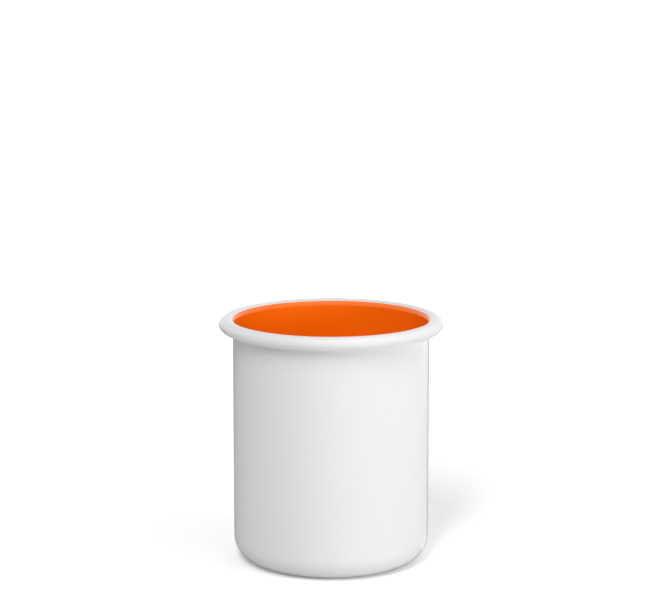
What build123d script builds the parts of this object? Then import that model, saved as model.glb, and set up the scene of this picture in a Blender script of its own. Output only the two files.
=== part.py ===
from build123d import *
import math
import os

# Enamelled steel utensil holder: a deep-drawn round pot with a rolled rim.
# Millimetres, +Z up, origin at the centre of the ring that the pot stands on.
# Every piece is turned about Z from one path, the middle line of the steel,
# and each coat lies at its own distance beside that line.

# Overall sizes, over the glass
HEIGHT = 140.0
RIM_DIAMETER = 127.2
WALL_DIAMETER = 111.6

# Rolled rim, over the glass
ROLL_HEIGHT = 7.8
ROLL_SIDE_RADIUS = 3.3
CURL_END_GAP = 0.35
CREASE_FILLET = 0.8

# Foot: a corner radius, a narrow resting ring and a panel set up from it
CORNER_RADIUS = 13.2
RING_WIDTH = 2.2
PANEL_RISE = 1.3
PANEL_BEND_RADIUS = 3.5
PANEL_SLOPE = 24.0

# Thicknesses
STEEL = 0.7
GROUND_COAT = 0.12
COVER_COAT = 0.25

# How steep the roll's inner shoulder is, in degrees, where the inside colour
# gives way to white
COLOUR_EDGE_SLOPE = 38.0

# Distances of the surfaces from the middle line of the steel
STEEL_SKIN = STEEL / 2
GROUND_SKIN = STEEL_SKIN + GROUND_COAT
GLASS_SKIN = GROUND_SKIN + COVER_COAT

# The middle line of the steel: the wall, and the roll as an oval of four arcs
WALL_LINE = WALL_DIAMETER / 2 - GLASS_SKIN
ROLL_WIDTH = RIM_DIAMETER / 2 - WALL_DIAMETER / 2 + 2 * GLASS_SKIN
ROLL_MIDDLE = RIM_DIAMETER / 2 - ROLL_WIDTH / 2
ROLL_LEVEL = HEIGHT - ROLL_HEIGHT / 2
SIDE_ARC = ROLL_SIDE_RADIUS - GLASS_SKIN
SIDE_REACH = ROLL_WIDTH / 2 - ROLL_SIDE_RADIUS
SIDE_DROP = ROLL_HEIGHT / 2 - ROLL_SIDE_RADIUS
CROWN_DROP = (SIDE_REACH**2 - SIDE_DROP**2) / (2 * SIDE_DROP)
CROWN_ARC = CROWN_DROP + ROLL_HEIGHT / 2 - GLASS_SKIN
CROWN_HALF_TURN = math.degrees(math.atan2(SIDE_REACH, CROWN_DROP))

QUARTER = 90.0


def walk(start, heading, moves):
    """Steps along lines and tangent arcs: each has its start, heading, size and turn.

    A move is a length with no turn, or a radius with its turn in degrees, left
    being positive. The last step holds only the path's end.
    """
    x, z = start
    steps = []
    for size, turn in moves:
        steps.append((x, z, heading, size, turn))
        before, after = math.radians(heading), math.radians(heading + turn)
        if turn:
            centre_side = math.copysign(size, turn)
            x += centre_side * (math.sin(after) - math.sin(before))
            z += centre_side * (math.cos(before) - math.cos(after))
        else:
            x += size * math.cos(before)
            z += size * math.sin(before)
        heading += turn
    steps.append((x, z, heading, 0.0, 0.0))
    return steps


def joined(first, second):
    """Two paths that meet end to start, as one."""
    return first[:-1] + second


def beside(step, distance):
    """The point at a distance to the left of a step's start, in the plane of section."""
    x, z, heading = step[:3]
    angle = math.radians(heading)
    return (x - distance * math.sin(angle), 0.0, z + distance * math.cos(angle))


def line_beside(steps, distance):
    """The path moved sideways by an exact distance, as lines and arcs."""
    edges = []
    for step, following in zip(steps, steps[1:]):
        x, z, heading, size, turn = step
        start, end = beside(step, distance), beside(following, distance)
        if turn:
            half_done = walk((x, z), heading, [(size, turn / 2)])[-1]
            edges.append(ThreePointArc(start, beside(half_done, distance), end))
        else:
            edges.append(Line(start, end))
    return edges


def across(step, near, far):
    """The straight edge that closes a coat at a step's start."""
    return Line(beside(step, near), beside(step, far))


def band(steps, right, left):
    """The strip along a path between two distances beside it."""
    sides = line_beside(steps, right) + line_beside(steps, left)
    ends = [across(steps[0], right, left), across(steps[-1], right, left)]
    return Face(Wire(sides + ends))


def foot_and_wall(wall_top):
    """From the middle of the base, down to the resting ring, round the corner and up."""
    slope = math.radians(PANEL_SLOPE)
    bends_drop = 2 * PANEL_BEND_RADIUS * (1 - math.cos(slope))
    slope_length = (PANEL_RISE - bends_drop) / math.sin(slope)
    step_run = 2 * PANEL_BEND_RADIUS * math.sin(slope) + slope_length * math.cos(slope)
    corner_start = WALL_DIAMETER / 2 - CORNER_RADIUS
    return walk((0.0, GLASS_SKIN + PANEL_RISE), 0.0, [
        (corner_start - RING_WIDTH - step_run, 0),
        (PANEL_BEND_RADIUS, -PANEL_SLOPE),
        (slope_length, 0),
        (PANEL_BEND_RADIUS, PANEL_SLOPE),
        (RING_WIDTH, 0),
        (CORNER_RADIUS - GLASS_SKIN, QUARTER),
        (wall_top - CORNER_RADIUS, 0),
    ])


def shoulder():
    """From the wall's top, level with the roll's middle, up to the colour edge."""
    return walk((WALL_LINE, ROLL_LEVEL), QUARTER, [
        (SIDE_ARC, CROWN_HALF_TURN - QUARTER),
        (CROWN_ARC, COLOUR_EDGE_SLOPE - CROWN_HALF_TURN),
    ])


def curl(past_lowest):
    """From the colour edge over the roll, and so many degrees past its lowest line."""
    edge = shoulder()[-1]
    return walk(edge[:2], edge[2], [
        (CROWN_ARC, -COLOUR_EDGE_SLOPE - CROWN_HALF_TURN),
        (SIDE_ARC, 2 * CROWN_HALF_TURN - 2 * QUARTER),
        (CROWN_ARC, -CROWN_HALF_TURN - past_lowest),
    ])


def meeting(roll_skin, wall_skin):
    """Degrees past the roll's lowest line, and height, where its skin reaches the wall's."""
    radius = CROWN_ARC + roll_skin
    angle = math.asin((ROLL_MIDDLE - WALL_LINE - wall_skin) / radius)
    return math.degrees(angle), ROLL_LEVEL + CROWN_DROP - radius * math.cos(angle)


def outside_coat(inner, outer):
    """A coat under the base, up the wall, and round the roll back to the wall."""
    inner_turn, inner_top = meeting(inner, inner)
    outer_turn, outer_top = meeting(outer, outer)
    wall_inner, wall_outer = foot_and_wall(inner_top), foot_and_wall(outer_top)
    curl_inner, curl_outer = curl(inner_turn), curl(outer_turn)
    outline = line_beside(wall_outer, -outer) + line_beside(curl_outer, outer)
    outline += line_beside(wall_inner, -inner) + line_beside(curl_inner, inner)
    outline += [across(wall_outer[0], -inner, -outer), across(curl_outer[0], inner, outer)]
    return Face(Wire(outline))


def pooled(section):
    """Round the crease under the roll, where the glass pools."""
    crease_height = meeting(GLASS_SKIN, GLASS_SKIN)[1]
    crease = section.vertices().sort_by_distance((WALL_DIAMETER / 2, 0.0, crease_height))[0]
    return section.fillet_2d(CREASE_FILLET, [crease])


def turned(section, name):
    """Turn a section about Z and write it as one named piece."""
    solid = Solid.revolve(section, 360, Axis.Z)
    solid.label = name
    export_step(solid, os.path.join("parts", name + ".step"))


os.makedirs("parts", exist_ok=True)

inside_path = joined(foot_and_wall(ROLL_LEVEL), shoulder())
free_edge_turn = meeting(STEEL_SKIN, STEEL_SKIN + CURL_END_GAP)[0]
steel_path = joined(inside_path, curl(free_edge_turn))

turned(band(steel_path, -STEEL_SKIN, STEEL_SKIN), "steel_shell")
turned(band(inside_path, STEEL_SKIN, GROUND_SKIN), "ground_coat_inside")
turned(outside_coat(STEEL_SKIN, GROUND_SKIN), "ground_coat_outside")
turned(band(inside_path, GROUND_SKIN, GLASS_SKIN), "orange_enamel_inside")
turned(pooled(outside_coat(GROUND_SKIN, GLASS_SKIN)), "white_enamel_outside")
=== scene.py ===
import math

import bmesh
import bpy
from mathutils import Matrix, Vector


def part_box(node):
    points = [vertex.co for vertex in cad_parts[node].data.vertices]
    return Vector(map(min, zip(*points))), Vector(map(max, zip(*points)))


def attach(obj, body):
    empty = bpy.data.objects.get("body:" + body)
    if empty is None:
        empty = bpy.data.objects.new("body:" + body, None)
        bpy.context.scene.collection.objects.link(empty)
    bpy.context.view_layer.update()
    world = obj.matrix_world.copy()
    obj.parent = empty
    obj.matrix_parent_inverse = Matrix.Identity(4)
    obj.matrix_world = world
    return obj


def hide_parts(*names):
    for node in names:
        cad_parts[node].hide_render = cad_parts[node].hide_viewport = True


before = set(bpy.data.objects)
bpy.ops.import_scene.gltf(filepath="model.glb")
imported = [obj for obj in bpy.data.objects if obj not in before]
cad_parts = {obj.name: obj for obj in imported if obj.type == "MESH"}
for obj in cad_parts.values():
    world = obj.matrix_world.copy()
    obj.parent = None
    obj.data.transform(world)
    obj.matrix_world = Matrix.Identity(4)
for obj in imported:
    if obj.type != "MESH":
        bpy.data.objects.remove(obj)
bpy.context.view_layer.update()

MM = 0.001

# The pot, in metres: its height and rim come from the frame, and the rest are
# the sizes that its section is drawn with
WHITE_LOW, WHITE_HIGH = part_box("white_enamel_outside")
HEIGHT = WHITE_HIGH.z
RIM_RADIUS = WHITE_HIGH.x
WALL_RADIUS = 55.8 * MM
ROLL_HEIGHT = 7.8 * MM
ROLL_SIDE_RADIUS = 3.3 * MM
CREASE_FILLET = 0.8 * MM
CORNER_RADIUS = 13.2 * MM
RING_WIDTH = 2.2 * MM
PANEL_RISE = 1.3 * MM
PANEL_BEND_RADIUS = 3.5 * MM
PANEL_SLOPE = 24.0
COLOUR_EDGE_SLOPE = 38.0

# Distances of the surfaces from the middle line of the steel
GROUND_SKIN = 0.47 * MM
GLASS_SKIN = 0.72 * MM

# The roll as an oval of four arcs, on the steel's middle line
WALL_LINE = WALL_RADIUS - GLASS_SKIN
ROLL_WIDTH = RIM_RADIUS - WALL_RADIUS + 2 * GLASS_SKIN
ROLL_MIDDLE = RIM_RADIUS - ROLL_WIDTH / 2
ROLL_LEVEL = HEIGHT - ROLL_HEIGHT / 2
SIDE_ARC = ROLL_SIDE_RADIUS - GLASS_SKIN
SIDE_REACH = ROLL_WIDTH / 2 - ROLL_SIDE_RADIUS
SIDE_DROP = ROLL_HEIGHT / 2 - ROLL_SIDE_RADIUS
CROWN_DROP = (SIDE_REACH**2 - SIDE_DROP**2) / (2 * SIDE_DROP)
CROWN_ARC = CROWN_DROP + ROLL_HEIGHT / 2 - GLASS_SKIN
CROWN_HALF_TURN = math.degrees(math.atan2(SIDE_REACH, CROWN_DROP))
QUARTER = 90.0

# How finely the pieces are drawn, and how close points are made one
FACETS_ROUND = 192
LINE_STEP = 4.0 * MM
ARC_STEP = 5.0
WELD = 0.001 * MM
CRISP_ANGLE = 40.0

# The fired glass isn't quite even: its surface falls short by up to this much,
# except close to the colour edge
WAVE_DEPTH = 0.05 * MM
WAVES_PER_METRE = 34.0
CALM_REACH = 2.5 * MM

# Seeds of the waves in each coat
WHITE_SEED = 3.0
ORANGE_SEED = 7.0

# Texture: slow clouds, the soft dimples called orange peel, a fine grain, wear,
# scuffs, and the steel's drag lines. Patches to the metre, and depths
CLOUDS_PER_METRE = 28.0
PEEL_PER_METRE = 170.0
PEEL_DEPTH = 0.02 * MM
GRAIN_PER_METRE = 900.0
GRAIN_DEPTH = 0.002 * MM
WEAR_PER_METRE = 1400.0
SCUFFS_PER_METRE = 900.0
DRAG_LINES_PER_METRE = 2200.0

# Detail of a pattern: how many finer layers it has
SMOOTH = 1.0
SOFT = 2.0
HAIRY = 3.0
MOTTLED = 4.0

# Shares of x, y and z that are kept: a pattern is drawn out the way of a small
# one, and the level place has no height
HAIRS_ALONG_Y = (1.0, 0.12, 0.3)
HAIRS_ALONG_X = (0.12, 1.0, 0.3)
LINES_UPRIGHT = (1.0, 1.0, 0.03)
LEVEL = (1.0, 1.0, 0.0)

# Where in a pattern's range scuffs and specks begin, and where they are full
SCUFF_RANGE = (0.6, 0.68)
SPECK_RANGE = (0.62, 0.7)

# Where the finishes change: thin glass on the roll and over the shoulder, wear
# on the resting ring, and scuffs low in the well
THIN_GLASS_BAND = 0.9 * MM
ORANGE_THIN_BAND = 6.0 * MM
STANDING_WEAR_LOW = 0.05 * MM
STANDING_WEAR_HIGH = 0.45 * MM
SCUFF_LOW = 6.0 * MM
SCUFF_HIGH = 70.0 * MM

# How far each effect turns a colour into its other one, from 0 to 1
WHITE_CLOUDING = 0.5
WHITE_THINNING = 0.5
STANDING_STAIN = 0.6
ORANGE_CLOUDING = 0.6
ORANGE_THINNING = 0.35
SCUFF_PALING = 0.08
SPECKLING = 0.3

# Roughness of each finish, and what its effects add to it
WHITE_ROUGHNESS = 0.09
WHITE_CLOUD_ROUGHNESS = 0.06
WEAR_ROUGHNESS = 0.4
ORANGE_ROUGHNESS = 0.1
ORANGE_CLOUD_ROUGHNESS = 0.05
SCUFF_ROUGHNESS = 0.12
STEEL_ROUGHNESS = 0.22
DRAG_ROUGHNESS = 0.2
SCALE_ROUGHNESS = 0.1
GROUND_ROUGHNESS = 0.28
GROUND_CLOUD_ROUGHNESS = 0.15
MATT = {"Roughness": 1.0, "Specular IOR Level": 0.0}

# Colours
WHITE = (1.0, 1.0, 1.0, 1.0)
BLACK = (0.0, 0.0, 0.0, 1.0)
WHITE_GLASS = (0.705, 0.705, 0.70, 1.0)
CLOUDED_WHITE = (0.685, 0.69, 0.69, 1.0)
THIN_WHITE = (0.61, 0.625, 0.645, 1.0)
STANDING_GREY = (0.45, 0.44, 0.42, 1.0)
ORANGE_GLASS = (0.985, 0.19, 0.004, 1.0)
DEEP_ORANGE = (0.97, 0.17, 0.003, 1.0)
THIN_ORANGE = (0.94, 0.165, 0.005, 1.0)
SCUFFED_ORANGE = (0.95, 0.30, 0.12, 1.0)
BRIGHT_STEEL = (0.60, 0.59, 0.57, 1.0)
DARK_STEEL = (0.48, 0.47, 0.46, 1.0)
GROUND_BLACK = (0.006, 0.007, 0.010, 1.0)
GROUND_BLUE = (0.012, 0.016, 0.028, 1.0)
GROUND_SPECK = (0.05, 0.055, 0.065, 1.0)

# The studio: a large pale floor that glows plain white away from the pot, the
# light of the room, and lamps with place, width, height, watts, colour, and
# whether the glass mirrors them
FLOOR_SIZE = 60.0
FLOOR_PALE = (0.9, 0.9, 0.9, 1.0)
FLOOR_BOUNCE = (0.86, 0.86, 0.86, 1.0)
FLOOR_GLOW = 0.225
FLOOR_GLOW_START = 0.16
FLOOR_GLOW_END = 0.8
ROOM_LIGHT = (0.36, 0.365, 0.375, 1.0)
LAMP_AIM = (0.0, 0.0, 0.07)
NEUTRAL = (1.0, 1.0, 1.0)
WARM = (1.0, 0.99, 0.975)
SOFT_BOXES = [
    ("front_box", (-0.28, -1.035, 1.26), 0.35, 0.9, 13.7, NEUTRAL, False),
    ("right_box", (1.30, -0.69, 0.24), 1.0, 0.45, 10.8, WARM, False),
    ("top_box", (0.40, -0.28, 1.55), 1.2, 0.8, 3.2, NEUTRAL, True),
    ("back_box", (0.50, 1.40, 0.40), 1.0, 0.7, 7.0, NEUTRAL, False),
]

# A grey card laid on the floor round the pot, that only the gloss sees: it draws
# the pot's upright edges. It is fainter in a wedge to the right and back. Each
# side of the wedge fades between two slopes, metres back for each metre to the
# right of the wall, and the tip is the least distance to the right they count
CARD_REACH = 1.6
CARD_LIFT = 0.2 * MM
CARD_GREY = (0.45, 0.45, 0.45, 1.0)
CARD_FAINT = 0.35
WEDGE_FRONT = (-0.5, 0.3)
WEDGE_BACK = (1.6, 2.8)
WEDGE_TIP = 1.0 * MM

# Camera, by the photograph: distance from the aim point, degrees above the
# level, aim point, and focal length in the photograph's pixels
CAMERA_DISTANCE = 1.2
CAMERA_ELEVATION = 10.45
CAMERA_AIM = (-2.05 * MM, 0.0, 147.5 * MM)
FOCAL_PIXELS = 2121.6
IMAGE_WIDTH = 655
SENSOR_MM = 36.0

# Sockets of a Mix node that mixes colours: the two going in, and the result
MIX_FIRST = 6
MIX_SECOND = 7
MIX_RESULT = 2


def walk(start, heading, moves):
    """Steps along lines and tangent arcs: each has its start, heading, size and turn."""
    x, z = start
    steps = []
    for size, turn in moves:
        steps.append((x, z, heading, size, turn))
        before, after = math.radians(heading), math.radians(heading + turn)
        if turn:
            centre_side = math.copysign(size, turn)
            x += centre_side * (math.sin(after) - math.sin(before))
            z += centre_side * (math.cos(before) - math.cos(after))
        else:
            x += size * math.cos(before)
            z += size * math.sin(before)
        heading += turn
    steps.append((x, z, heading, 0.0, 0.0))
    return steps


def joined(first, second):
    """Two paths that meet end to start, as one."""
    return first[:-1] + second


def beside(step, distance):
    """The point at a distance to the left of a step's start: radius and height."""
    x, z, heading = step[:3]
    angle = math.radians(heading)
    return (x - distance * math.sin(angle), z + distance * math.cos(angle))


def points_beside(steps, distance):
    """Close points along a path, moved sideways by a distance."""
    points = [beside(steps[0], distance)]
    for x, z, heading, size, turn in steps[:-1]:
        count = math.ceil(abs(turn) / ARC_STEP if turn else size / LINE_STEP)
        for part in range(1, count + 1):
            share = part / count
            move = (size, turn * share) if turn else (size * share, 0)
            points.append(beside(walk((x, z), heading, [move])[-1], distance))
    return points


def foot_and_wall(wall_top):
    """From the middle of the base, down to the resting ring, round the corner and up."""
    slope = math.radians(PANEL_SLOPE)
    bends_drop = 2 * PANEL_BEND_RADIUS * (1 - math.cos(slope))
    slope_length = (PANEL_RISE - bends_drop) / math.sin(slope)
    step_run = 2 * PANEL_BEND_RADIUS * math.sin(slope) + slope_length * math.cos(slope)
    corner_start = WALL_RADIUS - CORNER_RADIUS
    return walk((0.0, GLASS_SKIN + PANEL_RISE), 0.0, [
        (corner_start - RING_WIDTH - step_run, 0),
        (PANEL_BEND_RADIUS, -PANEL_SLOPE),
        (slope_length, 0),
        (PANEL_BEND_RADIUS, PANEL_SLOPE),
        (RING_WIDTH, 0),
        (CORNER_RADIUS - GLASS_SKIN, QUARTER),
        (wall_top - CORNER_RADIUS, 0),
    ])


def shoulder():
    """From the wall's top, level with the roll's middle, up to the colour edge."""
    return walk((WALL_LINE, ROLL_LEVEL), QUARTER, [
        (SIDE_ARC, CROWN_HALF_TURN - QUARTER),
        (CROWN_ARC, COLOUR_EDGE_SLOPE - CROWN_HALF_TURN),
    ])


def curl(past_lowest):
    """From the colour edge over the roll, and so many degrees past its lowest line."""
    edge = shoulder()[-1]
    return walk(edge[:2], edge[2], [
        (CROWN_ARC, -COLOUR_EDGE_SLOPE - CROWN_HALF_TURN),
        (SIDE_ARC, 2 * CROWN_HALF_TURN - 2 * QUARTER),
        (CROWN_ARC, -CROWN_HALF_TURN - past_lowest),
    ])


def meeting(skin):
    """Degrees past the roll's lowest line, and height, where its skin meets the wall's."""
    radius = CROWN_ARC + skin
    angle = math.asin((ROLL_MIDDLE - WALL_LINE - skin) / radius)
    return math.degrees(angle), ROLL_LEVEL + CROWN_DROP - radius * math.cos(angle)


def pooled_crease():
    """Where the glass pooled under the roll leaves it, and where it reaches the wall.

    The first is in degrees past the roll's lowest line, and the second a height.
    """
    reach = CROWN_ARC + GLASS_SKIN + CREASE_FILLET
    angle = math.asin((ROLL_MIDDLE - WALL_RADIUS - CREASE_FILLET) / reach)
    return math.degrees(angle), ROLL_LEVEL + CROWN_DROP - reach * math.cos(angle)


def white_section():
    """Along the underside, up the wall, round the roll, and back along the ground coat."""
    pool_turn, pool_height = pooled_crease()
    pool = walk((WALL_RADIUS, pool_height), QUARTER, [(CREASE_FILLET, -QUARTER - pool_turn)])
    skin = points_beside(foot_and_wall(pool_height), -GLASS_SKIN) + points_beside(pool, 0.0)[1:]
    skin += points_beside(curl(pool_turn), GLASS_SKIN)[-2::-1]
    hidden_turn, hidden_top = meeting(GROUND_SKIN)
    hidden = points_beside(curl(hidden_turn), GROUND_SKIN)
    return skin + hidden + points_beside(foot_and_wall(hidden_top), -GROUND_SKIN)[-2::-1]


def orange_section():
    """Out along the ground coat, up to the colour edge, and back down the inside."""
    inside = joined(foot_and_wall(ROLL_LEVEL), shoulder())
    return points_beside(inside, GROUND_SKIN) + points_beside(inside, GLASS_SKIN)[::-1]


class Value:
    """A socket's value. Arithmetic on values adds its own Math nodes."""

    def __init__(self, nodes, socket):
        self.nodes = nodes
        self.socket = socket

    def __add__(self, other):
        return self.nodes.maths("ADD", self, other)

    __radd__ = __add__

    def __mul__(self, other):
        return self.nodes.maths("MULTIPLY", self, other)

    __rmul__ = __mul__

    def __sub__(self, other):
        return self.nodes.maths("SUBTRACT", self, other)

    def __rsub__(self, other):
        return self.nodes.maths("SUBTRACT", other, self)

    def __truediv__(self, other):
        return self.nodes.maths("DIVIDE", self, other)

    def __rtruediv__(self, other):
        return self.nodes.maths("DIVIDE", other, self)


class Nodes:
    """One tree of nodes, and the ways to add to it."""

    def __init__(self, tree):
        self.tree = tree

    def node(self, kind, settings, inputs, output=0):
        """Add a node: its settings first, then the values or links of its sockets."""
        made = self.tree.nodes.new(kind)
        for name, value in settings.items():
            setattr(made, name, value)
        for name, value in inputs.items():
            self.feed(made.inputs[name], value)
        return Value(self, made.outputs[output])

    def feed(self, socket, value):
        """Link a value to a socket, or set the socket to a plain number."""
        if isinstance(value, Value):
            self.tree.links.new(value.socket, socket)
        else:
            socket.default_value = value

    def maths(self, operation, first, second=0.0):
        """One step of arithmetic."""
        return self.node("ShaderNodeMath", {"operation": operation}, {0: first, 1: second})

    def mix(self, share, first, second):
        """One colour turning into another."""
        return self.node("ShaderNodeMix", {"data_type": "RGBA"},
                         {"Factor": share, MIX_FIRST: first, MIX_SECOND: second}, MIX_RESULT)

    def fade(self, value, low, high):
        """0 below low, 1 above high, and smooth between."""
        return self.node("ShaderNodeMapRange", {"interpolation_type": "SMOOTHSTEP"},
                         {"Value": value, "From Min": low, "From Max": high})

    def stretched(self, place, shares):
        """A place with only these shares of its x, y and z."""
        return self.node("ShaderNodeVectorMath", {"operation": "MULTIPLY"}, {0: place, 1: shares})

    def radius(self, place):
        """Distance from the pot's axis."""
        level = self.stretched(place, LEVEL)
        return self.node("ShaderNodeVectorMath", {"operation": "LENGTH"}, {0: level}, "Value")

    def along(self, axis, place):
        """How far a place is along X, Y or Z."""
        return self.node("ShaderNodeSeparateXYZ", {}, {"Vector": place}, axis)

    def seen(self):
        """1 for rays from the camera, a gloss or a glass, and 0 for the rest."""
        rays = ("Is Camera Ray", "Is Glossy Ray", "Is Transmission Ray")
        camera, gloss, glass = [self.node("ShaderNodeLightPath", {}, {}, ray) for ray in rays]
        return self.maths("MAXIMUM", self.maths("MAXIMUM", camera, gloss), glass)


class Finish(Nodes):
    """A material whose Principled shader is fed from Object coordinates."""

    def __init__(self, name):
        self.material = bpy.data.materials.new(name)
        self.material.use_nodes = True
        super().__init__(self.material.node_tree)
        self.shader = self.tree.nodes["Principled BSDF"]
        self.place = self.node("ShaderNodeTexCoord", {}, {}, "Object")

    def noise(self, per_metre, detail=SOFT, place=None):
        """Soft random patches, so many to the metre, from 0 to 1."""
        return self.node("ShaderNodeTexNoise", {"noise_dimensions": "3D"},
                         {"Vector": place or self.place, "Scale": per_metre, "Detail": detail})

    def peel_and_grain(self):
        """The small unevenness of fired glass, as a normal."""
        peel = self.bump(self.noise(PEEL_PER_METRE, SMOOTH), PEEL_DEPTH)
        return self.bump(self.noise(GRAIN_PER_METRE, SMOOTH), GRAIN_DEPTH, peel)

    def bump(self, height, depth, under=None):
        """A normal that leans with a height, laid over another one if given."""
        inputs = {"Height": height, "Distance": depth}
        if under:
            inputs["Normal"] = under
        return self.node("ShaderNodeBump", {}, inputs, "Normal")

    def set(self, values):
        """Feed the shader's sockets by name."""
        for name, value in values.items():
            self.feed(self.shader.inputs[name], value)


def white_enamel():
    """Milk white glass: a little cloudy, thinner on the roll, dulled where the pot stands."""
    finish = Finish("white_enamel")
    cloud = finish.noise(CLOUDS_PER_METRE)
    thin = finish.fade(finish.radius(finish.place), RIM_RADIUS - THIN_GLASS_BAND, RIM_RADIUS)
    height = finish.along("Z", finish.place)
    standing = 1 - finish.fade(height, STANDING_WEAR_LOW, STANDING_WEAR_HIGH)
    worn = standing * finish.noise(WEAR_PER_METRE)
    colour = finish.mix(cloud * WHITE_CLOUDING, WHITE_GLASS, CLOUDED_WHITE)
    colour = finish.mix(thin * WHITE_THINNING, colour, THIN_WHITE)
    colour = finish.mix(worn * STANDING_STAIN, colour, STANDING_GREY)
    roughness = cloud * WHITE_CLOUD_ROUGHNESS + worn * WEAR_ROUGHNESS + WHITE_ROUGHNESS
    finish.set({"Base Color": colour, "Roughness": roughness, "Normal": finish.peel_and_grain()})
    return finish.material


def orange_enamel():
    """Bright orange glass, a little deeper in places, finely scuffed low in the well."""
    finish = Finish("orange_enamel")
    cloud = finish.noise(CLOUDS_PER_METRE)
    height = finish.along("Z", finish.place)
    thin = finish.fade(height, HEIGHT - ORANGE_THIN_BAND, HEIGHT - ROLL_SIDE_RADIUS / 2)
    low = 1 - finish.fade(height, SCUFF_LOW, SCUFF_HIGH)
    hair = finish.noise(SCUFFS_PER_METRE, HAIRY, finish.stretched(finish.place, HAIRS_ALONG_Y))
    cross_hair = finish.noise(SCUFFS_PER_METRE, HAIRY, finish.stretched(finish.place, HAIRS_ALONG_X))
    scuffs = low * (finish.fade(hair, *SCUFF_RANGE) + finish.fade(cross_hair, *SCUFF_RANGE))
    colour = finish.mix(cloud * ORANGE_CLOUDING, ORANGE_GLASS, DEEP_ORANGE)
    colour = finish.mix(thin * ORANGE_THINNING, colour, THIN_ORANGE)
    colour = finish.mix(scuffs * SCUFF_PALING, colour, SCUFFED_ORANGE)
    roughness = cloud * ORANGE_CLOUD_ROUGHNESS + scuffs * SCUFF_ROUGHNESS + ORANGE_ROUGHNESS
    finish.set({"Base Color": colour, "Roughness": roughness, "Normal": finish.peel_and_grain()})
    return finish.material


def drawn_steel():
    """Bare sheet with the upright drag lines of deep drawing."""
    finish = Finish("drawn_steel")
    drag = finish.noise(DRAG_LINES_PER_METRE, HAIRY, finish.stretched(finish.place, LINES_UPRIGHT))
    scale = finish.noise(CLOUDS_PER_METRE)
    finish.set({
        "Base Color": finish.mix(scale, BRIGHT_STEEL, DARK_STEEL),
        "Metallic": 1.0,
        "Roughness": drag * DRAG_ROUGHNESS + scale * SCALE_ROUGHNESS + STEEL_ROUGHNESS,
        "Normal": finish.bump(drag, GRAIN_DEPTH),
    })
    return finish.material


def ground_coat():
    """Near black first glass, fired thin and a little rough."""
    finish = Finish("ground_coat")
    cloud = finish.noise(CLOUDS_PER_METRE, MOTTLED)
    speck = finish.fade(finish.noise(WEAR_PER_METRE), *SPECK_RANGE)
    colour = finish.mix(cloud, GROUND_BLACK, GROUND_BLUE)
    finish.set({
        "Base Color": finish.mix(speck * SPECKLING, colour, GROUND_SPECK),
        "Roughness": cloud * GROUND_CLOUD_ROUGHNESS + GROUND_ROUGHNESS,
        "Normal": finish.bump(finish.noise(GRAIN_PER_METRE), PEEL_DEPTH),
    })
    return finish.material


TURNING_INPUTS = [
    ("Section", "NodeSocketGeometry"),
    ("Section points", "NodeSocketInt"),
    ("Facets round", "NodeSocketInt"),
    ("Wave depth", "NodeSocketFloat"),
    ("Waves per metre", "NodeSocketFloat"),
    ("Calm radius", "NodeSocketFloat"),
    ("Calm height", "NodeSocketFloat"),
    ("Calm reach", "NodeSocketFloat"),
    ("Seed", "NodeSocketFloat"),
    ("Glass", "NodeSocketMaterial"),
]


def turning_tree():
    """Geometry nodes that turn a section about Z into a closed coat with a wavy surface.

    The waves only fall short of the section, and die away at the calm ring.
    """
    tree = bpy.data.node_groups.new("turned_coat", "GeometryNodeTree")
    for name, kind in TURNING_INPUTS:
        tree.interface.new_socket(name, in_out="INPUT", socket_type=kind)
    tree.interface.new_socket("Coat", in_out="OUTPUT", socket_type="NodeSocketGeometry")
    nodes = Nodes(tree)
    given = {name: nodes.node("NodeGroupInput", {}, {}, name) for name, _ in TURNING_INPUTS}
    place = nodes.node("GeometryNodeInputPosition", {}, {})
    index = nodes.node("GeometryNodeInputIndex", {}, {})

    columns = given["Facets round"] + 1
    grid = nodes.node("GeometryNodeMeshGrid", {},
                      {"Vertices X": given["Section points"], "Vertices Y": columns})
    row = nodes.maths("FLOOR", (index + 0.5) / columns)
    turn = (index - row * columns) * (math.tau / given["Facets round"])
    on_section = nodes.node("GeometryNodeSampleIndex",
                            {"data_type": "FLOAT_VECTOR", "domain": "POINT"},
                            {0: given["Section"], "Value": place, "Index": row})
    turned = nodes.node("ShaderNodeVectorRotate", {"rotation_type": "Z_AXIS"},
                        {"Vector": on_section, "Angle": turn})
    skin = nodes.node("GeometryNodeSetPosition", {}, {0: grid, "Position": turned})
    outwards = nodes.node("GeometryNodeFlipFaces", {}, {0: skin})
    closed = nodes.node("GeometryNodeMergeByDistance", {}, {0: outwards, "Distance": WELD})

    wave = nodes.node("ShaderNodeTexNoise", {"noise_dimensions": "4D"},
                      {"Vector": place, "W": given["Seed"], "Scale": given["Waves per metre"],
                       "Detail": SMOOTH})
    aside = nodes.radius(place) - given["Calm radius"]
    above = nodes.along("Z", place) - given["Calm height"]
    reach = nodes.maths("SQRT", aside * aside + above * above)
    fall = wave * nodes.fade(reach, 0.0, given["Calm reach"]) * given["Wave depth"]
    normal = nodes.node("GeometryNodeInputNormal", {}, {})
    offset = nodes.node("ShaderNodeVectorMath", {"operation": "SCALE"},
                        {0: normal, "Scale": 0 - fall})
    waved = nodes.node("GeometryNodeSetPosition", {}, {0: closed, "Offset": offset})

    smooth = nodes.node("GeometryNodeSetShadeSmooth", {}, {0: waved})
    plain = nodes.node("GeometryNodeRealizeInstances", {}, {0: smooth})
    glazed = nodes.node("GeometryNodeSetMaterial", {}, {0: plain, "Material": given["Glass"]})
    nodes.feed(tree.nodes.new("NodeGroupOutput").inputs[0], glazed)
    return tree


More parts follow.
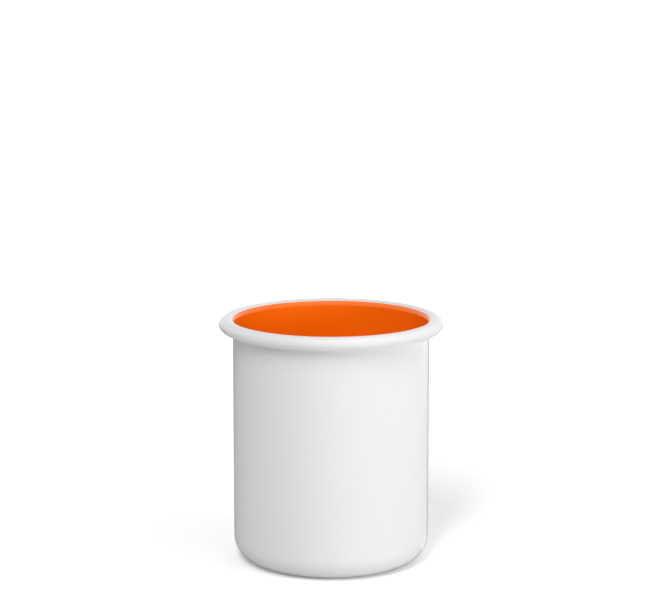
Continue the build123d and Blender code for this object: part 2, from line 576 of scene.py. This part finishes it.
def turned_coat(tree, name, section, glass, seed):
    """One coat of glass, turned from its section and kept as a plain closed mesh."""
    outline = bpy.data.meshes.new(name + "_section")
    corners = [(radius, 0.0, height) for radius, height in section]
    outline.from_pydata(corners, [(i, i + 1) for i in range(len(corners) - 1)], [])
    blank = bpy.data.objects.new(name + "_blank", outline)
    bpy.context.scene.collection.objects.link(blank)
    turning = blank.modifiers.new("turning", "NODES")
    turning.node_group = tree
    colour_edge = beside(shoulder()[-1], GLASS_SKIN)
    values = {
        "Section points": len(corners),
        "Facets round": FACETS_ROUND,
        "Wave depth": WAVE_DEPTH,
        "Waves per metre": WAVES_PER_METRE,
        "Calm radius": colour_edge[0],
        "Calm height": colour_edge[1],
        "Calm reach": CALM_REACH,
        "Seed": seed,
        "Glass": glass,
    }
    for socket in tree.interface.items_tree:
        if socket.name in values:
            turning[socket.identifier] = values[socket.name]
    evaluated = blank.evaluated_get(bpy.context.evaluated_depsgraph_get())
    mesh = bpy.data.meshes.new_from_object(evaluated)
    mesh.name = name
    bpy.data.objects.remove(blank)
    face_out(mesh)
    piece = bpy.data.objects.new(name, mesh)
    bpy.context.scene.collection.objects.link(piece)
    return piece


def face_out(mesh):
    """Faces point outwards, and the coat's cut edge stays crisp."""
    work = bmesh.new()
    work.from_mesh(mesh)
    bmesh.ops.recalc_face_normals(work, faces=work.faces)
    work.to_mesh(mesh)
    work.free()
    mesh.set_sharp_from_angle(angle=math.radians(CRISP_ANGLE))


def glaze(tree, node, name, section, glass, seed):
    """A coat that stands for its CAD node."""
    coat = turned_coat(tree, name, section, glass, seed)
    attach(coat, "root")
    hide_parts(node)


def repaint(node, material):
    """A CAD node that stays gets its own finish."""
    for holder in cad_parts[node].material_slots:
        holder.material = material


def flat_square(name, reach, height, finish):
    """A level square of the studio, round the pot."""
    corners = [(-reach, -reach, height), (reach, -reach, height),
               (reach, reach, height), (-reach, reach, height)]
    mesh = bpy.data.meshes.new(name)
    mesh.from_pydata(corners, [], [(0, 1, 2, 3)])
    mesh.materials.append(finish.material)
    made = bpy.data.objects.new(name, mesh)
    bpy.context.scene.collection.objects.link(made)
    return made


def white_floor():
    """A pale floor that keeps the pot's shadow, and turns plain white further out."""
    finish = Finish("white_floor")
    seen = finish.seen()
    glow = finish.fade(finish.radius(finish.place), FLOOR_GLOW_START, FLOOR_GLOW_END)
    glow = (glow * (1 - FLOOR_GLOW) + FLOOR_GLOW) * seen
    finish.set({
        **MATT,
        "Base Color": finish.mix(seen, FLOOR_BOUNCE, FLOOR_PALE),
        "Emission Color": finish.mix(glow, BLACK, WHITE),
        "Emission Strength": 1.0,
    })
    flat_square("floor", FLOOR_SIZE / 2, 0.0, finish)


def grey_card():
    """The card that only the gloss sees."""
    finish = Finish("grey_card")
    right = finish.along("X", finish.place) - WALL_RADIUS
    back = finish.along("Y", finish.place)
    slope = back / finish.maths("MAXIMUM", right, WEDGE_TIP)
    wedge = finish.fade(slope, *WEDGE_FRONT) * (1 - finish.fade(slope, *WEDGE_BACK))
    finish.set({**MATT, "Base Color": CARD_GREY, "Alpha": 1 - wedge * (1 - CARD_FAINT)})
    card = flat_square("grey_card", CARD_REACH, CARD_LIFT, finish)
    card.visible_camera = False
    card.visible_diffuse = False
    card.visible_shadow = False


def white_surround():
    """White where it is seen or mirrored, and a plain dim room light otherwise."""
    world = bpy.data.worlds.new("white_surround")
    world.use_nodes = True
    nodes = Nodes(world.node_tree)
    background = world.node_tree.nodes["Background"]
    nodes.feed(background.inputs["Color"], nodes.mix(nodes.seen(), ROOM_LIGHT, WHITE))
    bpy.context.scene.world = world


def soft_box(name, place, width, height, watts, colour, mirrored):
    """A large lamp that faces the pot."""
    data = bpy.data.lights.new(name, "AREA")
    data.shape = "RECTANGLE"
    data.size = width
    data.size_y = height
    data.energy = watts
    data.color = colour
    lamp = bpy.data.objects.new(name, data)
    lamp.location = place
    lamp.rotation_euler = (Vector(LAMP_AIM) - Vector(place)).to_track_quat("-Z", "Y").to_euler()
    lamp.visible_camera = False
    lamp.visible_glossy = mirrored
    bpy.context.scene.collection.objects.link(lamp)


def camera():
    """The photograph's view."""
    data = bpy.data.cameras.new("camera")
    data.sensor_fit = "HORIZONTAL"
    data.sensor_width = SENSOR_MM
    data.lens = FOCAL_PIXELS * SENSOR_MM / IMAGE_WIDTH
    eye = bpy.data.objects.new("camera", data)
    tilt = math.radians(CAMERA_ELEVATION)
    x, y, z = CAMERA_AIM
    eye.location = (x, y - CAMERA_DISTANCE * math.cos(tilt), z + CAMERA_DISTANCE * math.sin(tilt))
    eye.rotation_euler = (math.radians(QUARTER) - tilt, 0.0, 0.0)
    bpy.context.scene.collection.objects.link(eye)
    bpy.context.scene.camera = eye


turning = turning_tree()
glaze(turning, "white_enamel_outside", "white_glaze",
      white_section(), white_enamel(), WHITE_SEED)
glaze(turning, "orange_enamel_inside", "orange_glaze",
      orange_section(), orange_enamel(), ORANGE_SEED)
first_coat = ground_coat()
repaint("ground_coat_outside", first_coat)
repaint("ground_coat_inside", first_coat)
repaint("steel_shell", drawn_steel())

white_floor()
white_surround()
grey_card()
for box in SOFT_BOXES:
    soft_box(*box)
camera()
bpy.context.scene.view_settings.view_transform = "Standard"
